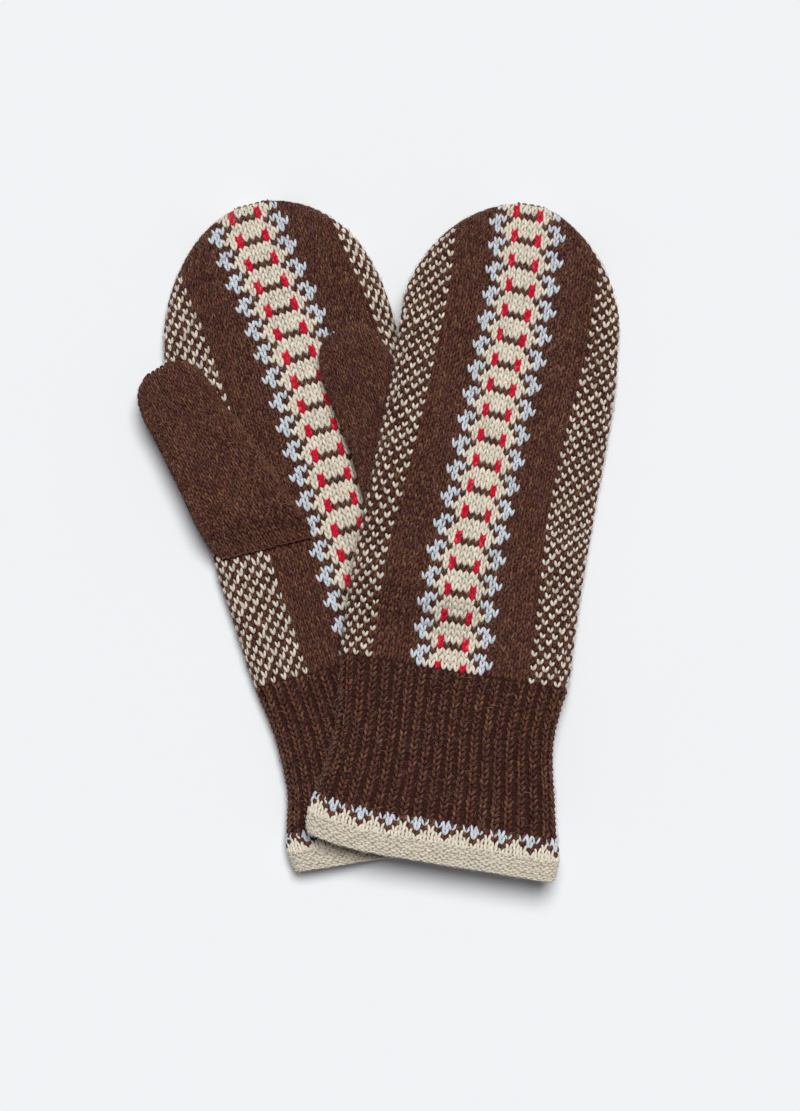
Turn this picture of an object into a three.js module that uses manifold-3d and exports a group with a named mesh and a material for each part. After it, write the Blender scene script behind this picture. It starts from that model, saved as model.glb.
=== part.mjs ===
// A pair of knitted mittens lying flat, the right one across the left, each thumb folded onto its palm.
// Millimetres. +Y runs towards the fingertips, +Z is up, and the pair lies on the plane z = 0.
// A mitten is drawn in its own axes: x across the hand (the thumb is at -x), y from wrist to tip.
import * as THREE from 'three';
import { mergeVertices } from 'three/addons/utils/BufferGeometryUtils.js';
import Module from 'manifold-3d';

const wasm = await Module();
wasm.setup();

// Knitted walls and the room between them.
const wall = 2.2;
const handRoom = 6.4;
const handThickness = 2 * wall + handRoom;
const hemThickness = 12;
const thumbWall = 1.8;
const thumbThickness = 9;
const seat = 0.3;
const tipMargin = 0.3;             // how far the last ring stays from the very end of a rounded tip
const hemSwellAbove = 2;           // where the hand starts to thicken towards the hem, over the edging's top
const hemSwellOver = 9;

// How the right mitten lies: on the left one, over its own thumb, and down towards the table past the
// left one's edge, where the droop starts at droopFrom and is whole droopOver further to the right.
const restHeight = 12;
const overThumb = handThickness + seat + thumbThickness + seat - restHeight;
const hemLift = 0.6;
const droop = 11.4;
const droopFrom = 64;
const droopOver = 27.5;
const thumbSlope = 12;
const overThumbEdge = -2;          // where the thumb's edge lies under the hand, and how it leans from there
const overThumbLean = 0.5;
const overThumbFrom = -44;         // the lower end of the rise over the thumb
const droopNorth = -125;           // where along the table the droop sets in, and over what length
const droopLength = 80;
const hemLiftFrom = -100;
const hemLiftOver = 18;

// The hem leans and its thumb side curls up, more and more below the cuff's top.
const tiltLength = 75;
const curlBelow = 20;
const curlLength = 50;
const curlFrom = -20;
const curlOver = 32;

const yarn = {
  brown: new THREE.Color('#4a3129'),
  darkBrown: new THREE.Color('#3f2821'),
  greenishCream: new THREE.Color('#cdc6aa'),
  lightBlue: new THREE.Color('#becddc'),
};

// widths: [y, reach towards the thumb, reach towards the little finger], from the hem to the shoulder.
const left = {
  name: 'left',
  centre: [-22.8, 8.8],
  lean: 15,
  palmUp: true,
  draped: false,
  faceSteps: 6,
  hemEnd: -145.1,
  hemTop: -136.4,
  edgingTop: -129.6,
  cuffTop: -60.5,
  shoulder: 75.6,
  tip: 137.8,
  tipShift: 4,
  tipShape: [2.0, 2.0],
  hemSlope: 0.105,
  hemCurl: 0,
  widths: [
    [-145.1, 51.5, 52], [-134, 52.1, 52], [-124, 49.5, 49], [-111, 46, 46], [-95, 44.9, 45],
    [-82, 45, 45], [-72, 46, 46], [-60, 47.6, 47.5], [-29, 49.2, 49], [-8, 50.4, 49.5],
    [25, 50, 50], [55, 49.4, 50.6], [75.6, 48.9, 50.2],
  ],
  thumb: {
    root: [-28.2, -0.6], lean: 16.2, length: 84.2, rootHalf: 21,
    widths: [[0, 1], [18, 0.97], [40, 0.87], [60, 0.79]],
  },
};

const right = {
  name: 'right',
  centre: [42.1, 0.9],
  lean: -9.3,
  palmUp: false,
  draped: true,
  faceSteps: 16,
  hemEnd: -136.6,
  hemTop: -127.8,
  edgingTop: -119.8,
  cuffTop: -56.3,
  shoulder: 92,
  tip: 142,
  tipShift: -1,
  tipShape: [1.75, 1.9],
  hemSlope: 0,
  hemCurl: 4,
  widths: [
    [-138, 52, 54], [-132, 53.3, 54.4], [-126, 53.3, 54.4], [-118, 51.7, 52.1], [-103, 49.1, 48.9],
    [-87, 47.9, 45.4], [-77, 48.3, 44.5], [-64, 50, 45.6], [-56, 50.8, 47], [-21, 51.2, 46.2],
    [23, 49.6, 46.4], [59, 48.1, 47], [76, 48.3, 46.4], [92, 48.4, 44.6],
  ],
  thumb: {
    root: [-26.1, 3.1], lean: 31.5, length: 88.5, rootHalf: 20, tuckUp: true,
    widths: [[0, 0.97], [18, 0.91], [40, 0.81], [60, 0.79]],
  },
};

// A thumb narrows from its root to its rounded end. Its widths: [y, share of rootHalf].
const thumbShoulder = 60;
const thumbTipShape = [3, 2.5];

// The root is cut square to the hand, which leans from the thumb's own axis. The rows straighten by
// slopeEnd, and below tuckFrom the root narrows and flattens onto the hand.
const rootSlope = 0.277;
const slopeEnd = 34;
const slopeOver = 30;
const rootEnd = -3.5;
const tuckFrom = 0.5;
const tuckOver = 4;
const tuckNarrowing = 0.1;
const tuckFlattening = 0.55;

// How far the darned yarn ends lie from the tips.
const knotBelowTip = 12;
const knotBelowThumbTip = 9;
const knotRadius = 1.2;

// The slit in the palm where the thumb opens into the hand, in the thumb's axes.
const slit = { halfLength: 16, from: 0.5, to: 9.5 };

function smooth(t) {
  const k = Math.min(1, Math.max(0, t));
  return k * k * (3 - 2 * k);
}

// A smooth curve through a table's rows, read at y, in the given column.
function along(table, y, column) {
  const last = table.length - 1;
  let i = 0;
  while (i < last - 1 && y > table[i + 1][0]) i += 1;
  const slopeAt = (k) => {
    const a = table[Math.max(0, k - 1)];
    const b = table[Math.min(last, k + 1)];
    return (b[column] - a[column]) / (b[0] - a[0]);
  };
  const span = table[i + 1][0] - table[i][0];
  const t = Math.min(1, Math.max(0, (y - table[i][0]) / span));
  const curve = new THREE.Vector4(2 * t ** 3 - 3 * t ** 2 + 1, t ** 3 - 2 * t ** 2 + t,
    3 * t ** 2 - 2 * t ** 3, t ** 3 - t ** 2);
  return curve.dot(new THREE.Vector4(table[i][column], slopeAt(i) * span,
    table[i + 1][column], slopeAt(i + 1) * span));
}

// How much of the full size is left at a share t of the way from the shoulder to the tip.
function rounding(t, [rise, fall]) {
  return Math.max(0, 1 - t ** rise) ** (1 / fall);
}

// How much of the full thickness is left at a share t of the way from the shoulder to the tip.
function fullness(t) {
  return t > 0 ? Math.sqrt(Math.max(0, 1 - t ** 3)) : 1;
}

// The height of the lower face of a mitten above the table, at a point in its own axes.
function lieHeight(mitten, x, y) {
  if (!mitten.draped) return 0;
  const lean = THREE.MathUtils.degToRad(mitten.lean);
  const east = mitten.centre[0] + x * Math.cos(lean) - y * Math.sin(lean);
  const north = mitten.centre[1] + x * Math.sin(lean) + y * Math.cos(lean);
  const thumbEdge = overThumbEdge - overThumbLean * Math.max(0, y);
  const alongThumb = smooth((y - overThumbFrom) / (2 * thumbSlope));
  const onThumb = smooth((thumbEdge + thumbSlope - x) / thumbSlope) * alongThumb;
  const offEdge = smooth((east - droopFrom) / droopOver) * smooth((north - droopNorth) / droopLength);
  const onHem = smooth((hemLiftFrom - y) / hemLiftOver);
  return restHeight + overThumb * onThumb - droop * offEdge + hemLift * onHem;
}

// How far the fabric at (x, y) lies out of a straight row, because the hem leans and curls.
function hemShift(mitten, x, y) {
  const tilt = mitten.hemSlope * smooth((mitten.cuffTop - y) / tiltLength);
  const curl = mitten.hemCurl * smooth((mitten.cuffTop - curlBelow - y) / curlLength);
  return curl * (Math.max(curlFrom - x, 0) / curlOver) ** 2 - tilt * x;
}

// One closed ring round the hand: flat faces and half-round folds, inset by the wall if it is the inside.
function handRing(mitten, y, inside) {
  const inset = inside ? wall : 0;
  const t = (y - mitten.shoulder) / (mitten.tip - inset - mitten.shoulder);
  const narrowed = t > 0 ? rounding(t, mitten.tipShape) : 1;
  const shift = mitten.tipShift * smooth(t);
  const toThumb = (along(mitten.widths, y, 1) - inset) * narrowed - shift;
  const toLittleFinger = (along(mitten.widths, y, 2) - inset) * narrowed + shift;
  const swell = smooth((mitten.edgingTop + hemSwellAbove - y) / hemSwellOver);
  const extra = (hemThickness - handThickness) * swell;
  const thick = (inside ? handRoom : handThickness + extra) * fullness(t);
  const middle = (handThickness + (inside ? 0 : extra)) / 2;
  const radius = Math.min(thick / 2, (toThumb + toLittleFinger) / 2);
  return stadium(-toThumb + radius, toLittleFinger - radius, radius, mitten.faceSteps)
    .map(([x, z]) => new THREE.Vector3(x, y + hemShift(mitten, x, y), middle + z + lieHeight(mitten, x, y)));
}

// Points round two flat faces joined by half circles of the given radius.
function stadium(from, to, radius, faceSteps) {
  const foldSteps = 4;
  const points = [];
  for (let i = 0; i <= faceSteps; i += 1) {
    points.push([from + (to - from) * (i / faceSteps), radius]);
  }
  for (let i = 1; i < foldSteps; i += 1) {
    const turn = Math.PI * (i / foldSteps);
    points.push([to + radius * Math.sin(turn), radius * Math.cos(turn)]);
  }
  for (let i = 0; i <= faceSteps; i += 1) {
    points.push([to + (from - to) * (i / faceSteps), -radius]);
  }
  for (let i = 1; i < foldSteps; i += 1) {
    const turn = Math.PI * (i / foldSteps);
    points.push([from - radius * Math.sin(turn), -radius * Math.cos(turn)]);
  }
  return points;
}

// A closed surface through rings of equal length, listed in the order of +y. With loop, the last ring
// joins the first, which makes the wall of a tube; otherwise a flat fan closes each end.
function loft(rings, loop = false) {
  const size = rings[0].length;
  const points = rings.flat();
  const triangles = [];
  const last = loop ? rings.length : rings.length - 1;
  for (let r = 0; r < last; r += 1) {
    const here = r * size;
    const next = ((r + 1) % rings.length) * size;
    for (let i = 0; i < size; i += 1) {
      const j = (i + 1) % size;
      triangles.push(here + i, here + j, next + i, here + j, next + j, next + i);
    }
  }
  if (!loop) {
    const centreOf = (ring) => ring.reduce((sum, p) => sum.add(p), new THREE.Vector3()).divideScalar(size);
    const first = points.push(centreOf(rings[0])) - 1;
    const end = points.push(centreOf(rings[rings.length - 1])) - 1;
    const top = (rings.length - 1) * size;
    for (let i = 0; i < size; i += 1) {
      const j = (i + 1) % size;
      triangles.push(first, j, i, end, top + i, top + j);
    }
  }
  const geometry = new THREE.BufferGeometry().setFromPoints(points);
  geometry.setIndex(triangles);
  return geometry;
}

function toManifold(geometry) {
  return new wasm.Manifold(new wasm.Mesh({
    numProp: 3,
    vertProperties: new Float32Array(geometry.attributes.position.array),
    triVerts: new Uint32Array(geometry.index.array),
  }));
}

function fromManifold(solid) {
  const mesh = solid.getMesh();
  const geometry = new THREE.BufferGeometry();
  geometry.setAttribute('position', new THREE.BufferAttribute(mesh.vertProperties, 3));
  geometry.setIndex(new THREE.BufferAttribute(mesh.triVerts, 1));
  return geometry;
}

function piece(name, geometry, color) {
  geometry.computeVertexNormals();
  const material = new THREE.MeshStandardMaterial({ color, roughness: 0.95, metalness: 0 });
  const mesh = new THREE.Mesh(geometry, material);
  mesh.name = name;
  return mesh;
}

// Even steps from one y to another, both included.
function steps(from, to, count) {
  return Array.from({ length: count + 1 }, (_, i) => from + (to - from) * (i / count));
}

// Steps over a rounded tip, closer together towards its end.
function tipSteps(from, to, count) {
  return steps(0, 1, count).slice(1).map((s) => from + (to - from) * Math.sin(s * Math.PI / 2) ** 0.9);
}

// The solid that cuts the slit through the palm and through the thumb's lower wall, in the thumb's axes.
function slitCutter(mitten) {
  const half = (slit.to - slit.from) / 2;
  const middle = (slit.from + slit.to) / 2;
  const outline = new THREE.Shape();
  outline.absarc(-slit.halfLength + half, middle, half, Math.PI / 2, 1.5 * Math.PI);
  outline.absarc(slit.halfLength - half, middle, half, -Math.PI / 2, Math.PI / 2);
  outline.closePath();
  const handMiddle = mitten.palmUp ? handThickness / 2 : restHeight + overThumb + handThickness / 2;
  const thumbMiddle = thumbFloor + thumbThickness / 2;
  const height = Math.abs(handMiddle - thumbMiddle);
  const options = { depth: height, bevelEnabled: false, curveSegments: 6 };
  const cutter = new THREE.ExtrudeGeometry(outline, options);
  cutter.translate(0, 0, Math.min(handMiddle, thumbMiddle));
  cutter.applyMatrix4(new THREE.Matrix4().makeShear(-rootSlope, 0, 0, 0, 0, 0));
  cutter.deleteAttribute('uv');
  cutter.deleteAttribute('normal');
  return mergeVertices(cutter);
}

// Both thumbs lie on the left palm: the left mitten's own, and the right mitten's from above.
const thumbFloor = handThickness + seat;

function intoHandAxes(geometry, thumb) {
  const moved = geometry.clone();
  moved.rotateZ(THREE.MathUtils.degToRad(thumb.lean));
  moved.translate(thumb.root[0], thumb.root[1], 0);
  return moved;
}

// The hollow hand, from the cuff to the rounded tip, open at the wrist and slit for the thumb.
function handShell(mitten) {
  const start = mitten.cuffTop + seat / 2;
  const bodyRings = 13;
  const tipRings = 7;
  const handEnd = mitten.tip - tipMargin;
  const roomEnd = mitten.tip - wall - tipMargin;
  const outside = [...steps(start, mitten.shoulder, bodyRings),
    ...tipSteps(mitten.shoulder, handEnd, tipRings)];
  const inside = [...steps(start - 1, mitten.shoulder, bodyRings),
    ...tipSteps(mitten.shoulder, roomEnd, tipRings)];
  const outer = toManifold(loft(outside.map((y) => handRing(mitten, y, false))));
  const inner = toManifold(loft(inside.map((y) => handRing(mitten, y, true))));
  const opening = toManifold(intoHandAxes(slitCutter(mitten), mitten.thumb));
  return piece(`${mitten.name}_hand`, fromManifold(outer.subtract(inner).subtract(opening)), yarn.brown);
}

// A tube of knitting between two heights: the cuff or the patterned edging.
function band(mitten, part, from, to, count, color) {
  const heights = steps(from + seat / 2, to - seat / 2, count);
  const outside = heights.map((y) => handRing(mitten, y, false));
  const inside = heights.map((y) => handRing(mitten, y, true)).reverse();
  return piece(`${mitten.name}_${part}`, loft([...outside, ...inside], true), color);
}

// The turned hem: a band whose free edge rounds over into the wrist opening.
function hem(mitten) {
  const softening = [[0, 0.35], [0.9, 0.85], [2.4, 1]];
  const outside = softening.map(([rise, share]) => {
    const y = mitten.hemEnd + rise;
    const inner = handRing(mitten, y, true);
    return handRing(mitten, y, false).map((p, i) => inner[i].clone().lerp(p, share));
  });
  const upper = steps(mitten.hemEnd + 4.5, mitten.hemTop - seat / 2, 2);
  outside.push(...upper.map((y) => handRing(mitten, y, false)));
  const inside = steps(mitten.hemTop - seat / 2, mitten.hemEnd, 2).map((y) => handRing(mitten, y, true));
  return piece(`${mitten.name}_hem`, loft([...outside, ...inside], true), yarn.greenishCream);
}

// The raised line where the knitting was joined: along the little finger's fold of the left mitten, and
// a little in from that fold on the back of the right one.
function sideSeam(mitten) {
  const halfWidth = 0.8;
  const inFromFold = 7;
  const height = 0.5;
  const corners = [[-halfWidth, height], [halfWidth, height], [halfWidth, 0], [-halfWidth, 0]];
  const rings = steps(mitten.cuffTop + 3, mitten.shoulder, 12).map((y) => {
    const reach = along(mitten.widths, y, 2);
    return corners.map(([side, out]) => {
      if (mitten.palmUp) return new THREE.Vector3(reach + seat + out, y, handThickness / 2 - side);
      const x = reach - inFromFold + side;
      return new THREE.Vector3(x, y, handThickness + seat + out + lieHeight(mitten, x, y));
    });
  });
  return piece(`${mitten.name}_side_seam`, loft(rings), yarn.darkBrown);
}

// The darned yarn end inside a tip.
function tipKnot(name, x, y, z) {
  const knot = new THREE.SphereGeometry(knotRadius, 8, 6);
  knot.scale(1.4, 1, 0.9);
  knot.deleteAttribute('uv');
  knot.deleteAttribute('normal');
  knot.translate(x, y, z);
  return piece(name, mergeVertices(knot), yarn.darkBrown);
}

// One ring round the thumb, in the thumb's axes.
function thumbRing(thumb, y, inset) {
  const t = (y - thumbShoulder) / (thumb.length - inset - thumbShoulder);
  const narrowed = t > 0 ? rounding(t, thumbTipShape) : 1;
  const rootTuck = smooth((-y - inset + tuckFrom) / tuckOver);
  const fullHalf = thumb.rootHalf * along(thumb.widths, y, 1) - inset;
  const half = fullHalf * narrowed * (1 - tuckNarrowing * rootTuck);
  const thick = (thumbThickness - 2 * inset) * fullness(t) * (1 - tuckFlattening * rootTuck);
  const radius = Math.min(thick / 2, half);
  const slope = rootSlope * smooth((slopeEnd - y) / slopeOver);
  const lowered = (thumbThickness - 2 * inset) / 2 * tuckFlattening * rootTuck * (thumb.tuckUp ? 1 : -1);
  return stadium(-half + radius, half - radius, radius, 4)
    .map(([x, z]) => new THREE.Vector3(x, y - slope * x, thumbFloor + thumbThickness / 2 + lowered + z));
}

// The hollow thumb, closed at its tip and tucked in at its root, with the slit in its palm side.
function thumbShell(mitten) {
  const { thumb } = mitten;
  const ring = (inset) => (y) => thumbRing(thumb, y, inset);
  const tipRings = 6;
  const body = [10, 20, 30, 40, 50, thumbShoulder];
  const outside = [rootEnd, -1.5, tuckFrom, ...body,
    ...tipSteps(thumbShoulder, thumb.length - tipMargin, tipRings)];
  const inside = [-1.2, 0.8, ...body,
    ...tipSteps(thumbShoulder, thumb.length - thumbWall - tipMargin, tipRings)];
  const outer = toManifold(loft(outside.map(ring(0))));
  const inner = toManifold(loft(inside.map(ring(thumbWall))));
  const opening = toManifold(slitCutter(mitten));
  return piece(`${mitten.name}_thumb`, fromManifold(outer.subtract(inner).subtract(opening)), yarn.brown);
}

// The picked-up edge along the crease at the thumb's root.
function thumbSeam(mitten) {
  const radius = 0.9;
  const creaseDepth = 2;
  const { thumb } = mitten;
  const length = 0.9 * 2 * thumb.rootHalf;
  const bar = new THREE.CapsuleGeometry(radius, length - 2 * radius, 3, 8);
  bar.rotateZ(Math.PI / 2 - Math.atan(rootSlope));
  bar.deleteAttribute('uv');
  bar.deleteAttribute('normal');
  const rootHeight = thumb.tuckUp ? thumbFloor + thumbThickness - creaseDepth : thumbFloor + creaseDepth;
  bar.translate(0, rootEnd - seat - radius, rootHeight);
  return piece(`${mitten.name}_thumb_seam`, mergeVertices(bar), yarn.darkBrown);
}

function thumbGroup(mitten) {
  const { thumb } = mitten;
  const group = new THREE.Group();
  group.position.set(thumb.root[0], thumb.root[1], 0);
  group.rotation.z = THREE.MathUtils.degToRad(thumb.lean);
  group.add(thumbShell(mitten));
  group.add(thumbSeam(mitten));
  const knotHeight = thumbFloor + thumbThickness / 2;
  group.add(tipKnot(`${mitten.name}_thumb_knot`, 0, thumb.length - knotBelowThumbTip, knotHeight));
  return group;
}

function mittenGroup(mitten) {
  const group = new THREE.Group();
  group.position.set(mitten.centre[0], mitten.centre[1], 0);
  group.rotation.z = THREE.MathUtils.degToRad(mitten.lean);
  group.add(handShell(mitten));
  group.add(band(mitten, 'rib_cuff', mitten.edgingTop, mitten.cuffTop, 8, yarn.darkBrown));
  group.add(band(mitten, 'edging', mitten.hemTop, mitten.edgingTop, 2, yarn.lightBlue));
  group.add(hem(mitten));
  group.add(sideSeam(mitten));
  const knotY = mitten.tip - knotBelowTip;
  const knotHeight = handThickness / 2 + lieHeight(mitten, mitten.tipShift, knotY);
  group.add(tipKnot(`${mitten.name}_tip_knot`, mitten.tipShift, knotY, knotHeight));
  group.add(thumbGroup(mitten));
  return group;
}

const pair = new THREE.Group();
pair.add(mittenGroup(left));
pair.add(mittenGroup(right));

export default pair;
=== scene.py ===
"""A pair of knitted mittens lying flat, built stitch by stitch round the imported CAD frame.

Each mitten is drawn in its own axes in millimetres, as the CAD part is: x across the hand with the
thumb at -x, y from the wrist to the fingertips. A stitch is placed on the skin of the mitten by its
distance s round the skin from x = 0, its y and its height h over the CAD surface.
"""

import math
from collections import namedtuple
from functools import partial

import bpy
import numpy as np
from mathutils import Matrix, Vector


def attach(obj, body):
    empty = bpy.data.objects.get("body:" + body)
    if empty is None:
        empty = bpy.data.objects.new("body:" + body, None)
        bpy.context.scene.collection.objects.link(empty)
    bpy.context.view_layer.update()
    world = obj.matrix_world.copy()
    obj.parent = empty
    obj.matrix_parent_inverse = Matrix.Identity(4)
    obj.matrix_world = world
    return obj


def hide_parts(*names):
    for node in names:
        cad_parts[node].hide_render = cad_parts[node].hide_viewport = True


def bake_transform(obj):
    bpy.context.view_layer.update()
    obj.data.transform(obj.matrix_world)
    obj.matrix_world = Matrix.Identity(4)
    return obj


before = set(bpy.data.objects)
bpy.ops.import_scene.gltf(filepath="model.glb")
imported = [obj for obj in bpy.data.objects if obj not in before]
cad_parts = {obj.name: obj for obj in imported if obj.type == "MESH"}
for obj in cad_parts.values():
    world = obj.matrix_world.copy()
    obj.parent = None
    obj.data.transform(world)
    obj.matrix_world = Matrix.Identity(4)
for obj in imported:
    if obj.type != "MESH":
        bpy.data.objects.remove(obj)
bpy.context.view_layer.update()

MM = 0.001

# -------------------- driving dimensions, in millimetres
WALL = 2.2
HAND_ROOM = 6.4
HAND_THICKNESS = 2 * WALL + HAND_ROOM
HEM_THICKNESS = 12.0
HEM_ROLL = 1.5             # radius of the hem's rounded edge
CORNER_SHARE = 0.035       # how much narrower the hem is at that edge
CURL_FROM = -20.0          # where the thumb's side of the hem starts to curl up, and over what width
CURL_OVER = 32.0
HEM_SWELL_ABOVE = 2.0      # where the hand starts to thicken towards the hem, over the edging's top
HEM_SWELL_OVER = 9.0
TILT_LENGTH = 75.0         # over what length, from the cuff's top, the hem comes to lean
CURL_BELOW = 20.0          # how far below the cuff's top the curl begins, and over what length
CURL_LENGTH = 50.0
THUMB_THICKNESS = 9.0
SEAT = 0.3
THUMB_FLOOR = HAND_THICKNESS + SEAT

REST_HEIGHT = 12.0         # the draped mitten's lower face over the table
OVER_THUMB = THUMB_FLOOR + THUMB_THICKNESS + SEAT - REST_HEIGHT
THUMB_EDGE = -2.0          # where the thumb's edge lies under the hand, and how it leans
THUMB_EDGE_LEAN = 0.5
THUMB_SLOPE = 12.0         # the width of the slope up over the thumb
OVER_THUMB_FROM = -44.0    # the lower end of that slope
DROOP = 11.4               # how far the mitten comes down to the table beyond the other one
DROOP_FROM = 64.0          # where that begins to the right, and over what width
DROOP_OVER = 27.5
DROOP_NORTH = -125.0       # where it begins at the wrist's end, and over what length
DROOP_LENGTH = 80.0
HEM_LIFT = 0.6
HEM_LIFT_FROM = -100.0     # where the wrist starts to lift, and over what length
HEM_LIFT_OVER = 18.0

ROW = 2.66                 # height of one row of knitting on the hand and thumb
FIRST_ROW = 2.78           # height of the first row over the cuff
TIGHTENING = 0.0014        # how the rows get lower towards the fingertips
STITCH = 2.42              # width that the stitch shapes are drawn at
RIB_STITCH = 5.1           # width of one knit column and one purl column of the cuff
RIB_ROW = 2.45
PURL_STITCH = 2.90
PURL_ROW = 2.06
FOLD_COLUMNS = 5           # columns next to a fold that take up what is left of the width
YARN_TOP = -0.1            # the highest point of a stitch, over the CAD surface
SKIN_DEPTH = 1.0           # how deep the woolly skin behind the stitches lies
HEM_SKIN_DEPTH = 0.85
RIB_SKIN_DEPTH = 2.0
TIP_TUCK = 1.0             # the last millimetre of the tip, where the stitches turn down over the edge
TUCK_REACH = 0.8           # how far past that edge they can reach, as a share of it
FOLD_TURN = 0.62 * math.pi     # how far round a fold a stitch can lie
LEAST_RADIUS = 0.05

LEFT = dict(
    name="left", speckle_rise=0.86, centre=(-22.8, 8.8), lean=15.0, palm_up=True, draped=False,
    hem_end=-145.1, hem_top=-136.4, edging_top=-129.6, cuff_top=-60.5,
    shoulder=75.6, tip=137.8, tip_shift=4.0, tip_shape=(2.0, 2.0), hem_slope=0.105, hem_curl=0.0,
    widths=[
        (-145.1, 51.5, 52), (-134, 52.1, 52), (-124, 49.5, 49), (-111, 46, 46), (-95, 44.9, 45),
        (-82, 45, 45), (-72, 46, 46), (-60, 47.6, 47.5), (-29, 49.2, 49), (-8, 50.4, 49.5),
        (25, 50, 50), (55, 49.4, 50.6), (75.6, 48.9, 50.2),
    ],
    thumb_root=(-28.2, -0.6), thumb_lean=16.2, thumb_length=84.2, thumb_half=21.0, tuck_up=False,
    tuck_length=18.0, tuck_share=0.86, thumb_widths=[(0, 1.0), (18, 0.97), (40, 0.87), (60, 0.79)],
)
RIGHT = dict(
    name="right", speckle_rise=0.66, centre=(42.1, 0.9), lean=-9.3, palm_up=False, draped=True,
    hem_end=-136.6, hem_top=-127.8, edging_top=-119.8, cuff_top=-56.3,
    shoulder=92.0, tip=142.0, tip_shift=-1.0, tip_shape=(1.75, 1.9), hem_slope=0.0, hem_curl=4.0,
    widths=[
        (-138, 52, 54), (-132, 53.3, 54.4), (-126, 53.3, 54.4), (-118, 51.7, 52.1), (-103, 49.1, 48.9),
        (-87, 47.9, 45.4), (-77, 48.3, 44.5), (-64, 50, 45.6), (-56, 50.8, 47), (-21, 51.2, 46.2),
        (23, 49.6, 46.4), (59, 48.1, 47), (76, 48.3, 46.4), (92, 48.4, 44.6),
    ],
    thumb_root=(-26.1, 3.1), thumb_lean=31.5, thumb_length=88.5, thumb_half=20.0, tuck_up=True,
    tuck_length=4.0, tuck_share=0.55, thumb_widths=[(0, 0.97), (18, 0.91), (40, 0.81), (60, 0.79)],
)
THUMB_SHOULDER = 60.0
THUMB_TIP_SHAPE = (3.0, 2.5)
ROOT_SLOPE = 0.31          # how the rows at the root lean, up to SLOPE_END
SLOPE_END = 34.0
SLOPE_OVER = 30.0
ROOT_END = -3.5            # the root's lower end; below TUCK_FROM it narrows a little
TUCK_FROM = 0.5
TUCK_OVER = 4.0
ROOT_NARROWING = 0.1

# How the pattern wanders on each face: (y, where the middle of the ladder is, width of a stitch on the
# thumb's side of it, width on the little finger's side), and how much wider the ladder's own stitches lie.
BACK_GAUGE = [
    (-58, -4.0, 2.64, 2.65), (-14, -5.2, 2.60, 2.60), (14, -3.1, 2.55, 2.35), (45, -2.1, 2.42, 2.35),
    (72, -1.7, 2.34, 2.55), (104, -0.9, 2.34, 2.57), (142, -2.8, 2.50, 2.62),
]
PALM_GAUGE = [
    (-60, 8.3, 2.35, 2.37), (-14, 8.6, 2.58, 2.37), (30, 8.8, 2.60, 2.37), (62, 8.4, 2.60, 2.37),
    (91, 5.5, 2.57, 2.37), (115, 2.0, 2.53, 2.37), (140, 0.1, 2.53, 2.37),
]
PALM_SWELL = {-1: 2.0, 1: 1.2}
SWELL_COLUMNS = 14
BACK_ROW_SLOPE = -0.11     # how the rows of the back lean, between the two heights given here
ROW_SLOPE_FROM = -5.0
ROW_SLOPE_OVER = 30.0
ROW_SLOPE_END = 150.0
ROW_SLOPE_FADE = 40.0


# -------------------- the shape of a mitten
def smooth(t):
    """A soft step: 0 up to t = 0, 1 from t = 1 on."""
    k = np.clip(t, 0.0, 1.0)
    return k * k * (3 - 2 * k)


def turned(start, lean, x, y):
    """Where x and y lead from a starting point, along axes turned by lean degrees."""
    angle = math.radians(lean)
    to_x = start[0] + x * math.cos(angle) - y * math.sin(angle)
    to_y = start[1] + x * math.sin(angle) + y * math.cos(angle)
    return to_x, to_y


def along(table, y, column):
    """A smooth curve through a table's rows, read at y, in the given column."""
    rows = np.array([(r[0], r[column]) for r in table], float)
    places, values = rows[:, 0], rows[:, 1]
    last = len(places) - 1
    before = np.maximum(np.arange(last + 1) - 1, 0)
    after = np.minimum(np.arange(last + 1) + 1, last)
    slopes = (values[after] - values[before]) / (places[after] - places[before])
    i = np.clip(np.searchsorted(places, y, side="left") - 1, 0, last - 1)
    span = places[i + 1] - places[i]
    t = np.clip((y - places[i]) / span, 0.0, 1.0)
    return (
        (2 * t**3 - 3 * t**2 + 1) * values[i]
        + (t**3 - 2 * t**2 + t) * slopes[i] * span
        + (3 * t**2 - 2 * t**3) * values[i + 1]
        + (t**3 - t**2) * slopes[i + 1] * span
    )


def rounding(t, shape):
    """How much of the full size is left at a share t of the way from the shoulder to the tip."""
    rise, fall = shape
    return np.clip(1 - np.clip(t, 0, 1) ** rise, 0, 1) ** (1 / fall)


def fullness(t):
    """How much of the full thickness is left on the way to the tip."""
    return np.where(t > 0, np.sqrt(np.clip(1 - np.clip(t, 0, 1) ** 4, 0, 1)), 1.0)


def lie_height(m, x, y):
    """The height of a mitten's lower face over the table."""
    if not m["draped"]:
        return np.zeros_like(x)
    east, north = turned(m["centre"], m["lean"], x, y)
    thumb_edge = THUMB_EDGE - THUMB_EDGE_LEAN * np.maximum(0, y)
    along_thumb = smooth((y - OVER_THUMB_FROM) / (2 * THUMB_SLOPE))
    on_thumb = smooth((thumb_edge + THUMB_SLOPE - x) / THUMB_SLOPE) * along_thumb
    off_edge = smooth((east - DROOP_FROM) / DROOP_OVER) * smooth((north - DROOP_NORTH) / DROOP_LENGTH)
    on_hem = smooth((HEM_LIFT_FROM - y) / HEM_LIFT_OVER)
    return REST_HEIGHT + OVER_THUMB * on_thumb - DROOP * off_edge + HEM_LIFT * on_hem


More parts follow.
